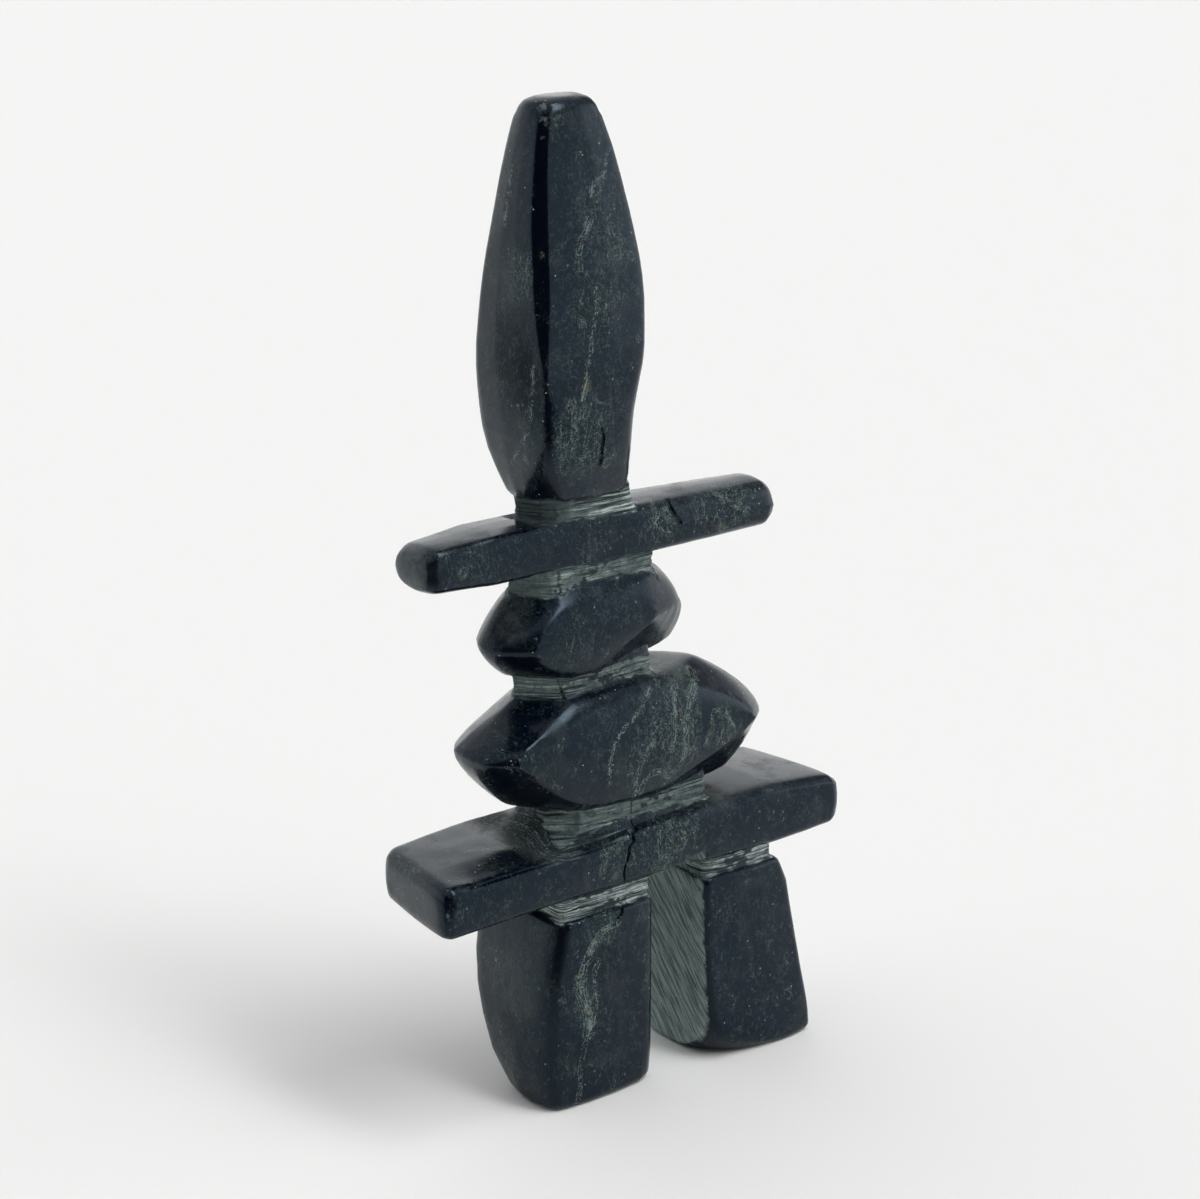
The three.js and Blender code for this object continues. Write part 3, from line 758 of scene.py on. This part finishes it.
# The filed faces in the gap, and the scratches beside the lintel's neck.
stroke = noise(stretched(3, 11, 0.8, turn=-slant), 1.0, 4, 0.6)
filed_stone = blend(ramp(stroke, 0.36, 0.64), dark_stroke, pale_stroke)
filed_stone = blend(times(ramp(fine, 0.55, 0.72), 0.7), filed_stone, gap_dirt)
beside = node("ShaderNodeCombineXYZ", {0: attribute("round_neck"), 1: times(blot, 3.0)}).outputs[0]
curved = noise(beside, 2.4, 4, 0.75)
scraped_stone = blend(ramp(curved, 0.50, 0.68), dark_scratch, pale_scratch)
marked = attribute("scraped")
scrape = more(more(curved, times(mottle, 0.3)), times(marked, 0.35))
scrape = times(marked, ramp(scrape, 0.62, 0.90))

# All of these together, each where the tools left it, and a painted shadow line round the necks.
colour = blend(scrape, polished, scraped_stone)
colour = blend(times(ramp(chipped, 0.3, 0.8), ramp(fine, 0.4, 0.6)), colour, chip_grey)
colour = blend(sawn, colour, sawn_stone)
# Painted shadow: a thin dark line where the polish meets the sawn necks, under the lips of the stones.
rim_shadow = times(ramp(sawn, 0.03, 0.25), ramp(sawn, 0.75, 0.45))
colour = blend(times(rim_shadow, 0.8), colour, painted_rim_shadow)
colour = blend(filed, colour, filed_stone)
colour = blend(attribute("cracked"), colour, crack_black)
tree.links.new(colour, shader.inputs["Base Color"])

# The polish, dulled by dust and by the tools, and the fine relief.
dull = most(sawn, filed, scrape, chipped)
shine = more(0.17, more(times(ramp(mottle, 0.4, 0.75), 0.10), times(more(haze, dusty), 0.30)))
shine = more(shine, more(times(pale, 0.20), times(pits, 0.3)))
shine = maths("ADD", shine, times(dull, 0.5), clamp=True)
tree.links.new(shine, shader.inputs["Roughness"])
relief = more(times(layered, times(sawn, 1.6)), times(fine, more(dull, 0.02)))
relief = more(relief, more(times(mottle, 0.25), times(pits, -0.5)))
relief = more(relief, times(times(more(mottle, fine), crowded), 0.35))
bump = node("ShaderNodeBump", {"Height": relief, "Strength": 0.5, "Distance": 0.00015})
tree.links.new(bump.outputs["Normal"], shader.inputs["Normal"])
figure.data.materials.clear()
figure.data.materials.append(serpentine)

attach(figure, "root")
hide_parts("inukshuk")


# Floor. The figure stands on a wide sheet of plain matt white paper, which runs on past the edges
# of the picture.
def disc(name, sides, radius):
    """Adds a flat round sheet."""
    bpy.ops.mesh.primitive_circle_add(
        vertices=sides, radius=radius, fill_type="NGON", location=(0, 0, 0)
    )
    made = bpy.context.object
    made.name = name
    return made


def plain(name, colour, rough):
    """A material of one colour."""
    made = bpy.data.materials.new(name)
    made.use_nodes = True
    inputs = made.node_tree.nodes["Principled BSDF"].inputs
    inputs["Base Color"].default_value = (*colour, 1)
    inputs["Roughness"].default_value = rough
    return made


floor = disc("floor", 96, 12)
paper = plain("paper", (0.91, 0.915, 0.905), 0.9)
paper.node_tree.nodes["Principled BSDF"].inputs["Specular IOR Level"].default_value = 0.1
floor.data.materials.append(paper)


# Cards. A black one lies in front and a grey one at the left, where the room is darker. Their edges
# fade out, and they show only in the stone's polish.
def card(name, place, radius, fade, cover, colour):
    """Lays a round card on the floor, faded at its rim, that only reflections see."""
    made = disc(name, 64, radius)
    made.location = (*place, 0.001)
    paint = plain(name, colour, 1.0)
    paint_tree = paint.node_tree
    spot = add_node(paint_tree, "ShaderNodeTexCoord").outputs["Object"]
    reach = add_node(paint_tree, "ShaderNodeVectorMath", {0: spot}, operation="LENGTH")
    links = {"Value": reach.outputs["Value"], "From Min": radius, "From Max": radius - fade}
    links["To Max"] = cover
    faded = add_node(paint_tree, "ShaderNodeMapRange", links, interpolation_type="SMOOTHSTEP")
    alpha = paint_tree.nodes["Principled BSDF"].inputs["Alpha"]
    paint_tree.links.new(faded.outputs["Result"], alpha)
    made.data.materials.append(paint)
    made.visible_camera = made.visible_diffuse = made.visible_shadow = False


card("dark_card", (-1.12, -1.24), 1.56, 0.2, 1.0, (0.004, 0.005, 0.006))
card("grey_card", (-1.50, 0.75), 1.10, 0.4, 0.7, (0.02, 0.02, 0.02))


# Light. A tall soft lamp hangs over the figure to its front right, above a window. Low white walls
# stand round it under a dimmer ceiling. They are brighter behind the figure at the right, darker
# past the window, and open and dark where the camera is.
world = bpy.data.worlds.new("studio")
bpy.context.scene.world = world
world.use_nodes = True
studio = world.node_tree
toward = add_node(studio, "ShaderNodeTexCoord").outputs["Generated"]


def near(turn, rise, far, full):
    """1 within an angle of one direction, 0 beyond a wider one; all angles are in degrees."""
    turn, rise = math.radians(turn), math.radians(rise)
    middle = (math.sin(turn) * math.cos(rise), -math.cos(turn) * math.cos(rise), math.sin(rise))
    facing = add_node(studio, "ShaderNodeVectorMath", {0: toward, 1: middle}, operation="DOT_PRODUCT")
    links = {"Value": facing.outputs["Value"]}
    links["From Min"], links["From Max"] = math.cos(math.radians(far)), math.cos(math.radians(full))
    made = add_node(studio, "ShaderNodeMapRange", links, interpolation_type="SMOOTHSTEP")
    return made.outputs["Result"]


def scaled(value, factor, added):
    """A value times a factor, with something added."""
    links = {0: value, 1: factor, 2: added}
    return add_node(studio, "ShaderNodeMath", links, operation="MULTIPLY_ADD").outputs[0]


def dimmed(light, place, amount):
    """The light with so much of it taken away in one place."""
    return scaled(light, scaled(place, -amount, 1.0), 0.0)


upward = add_node(studio, "ShaderNodeSeparateXYZ", {0: toward}).outputs["Z"]
wall = add_node(studio, "ShaderNodeMapRange", {"Value": upward, "From Min": 0.55, "From Max": 0.36})
back_wall = near(150, 8, 50, 15)
window = near(62, 14, 26, 10)
dark_corner = near(104, 27, 24, 12)
opening = near(-46, 12, 52, 34)
light = scaled(wall.outputs["Result"], 0.35, 0.64)
light = scaled(back_wall, 0.35, light)
light = scaled(window, 0.9, light)
light = dimmed(light, dark_corner, 0.6)
light = dimmed(light, opening, 0.98)
for turn, rise in ((20, 47), (30, 60), (42, 74)):
    lamp = near(turn, rise, 10, 4)
    light = scaled(lamp, 8.0, light)
studio.links.new(light, studio.nodes["Background"].inputs["Strength"])
studio.nodes["Background"].inputs["Color"].default_value = (1, 1, 1, 1)
bpy.context.scene.view_settings.view_transform = "Standard"
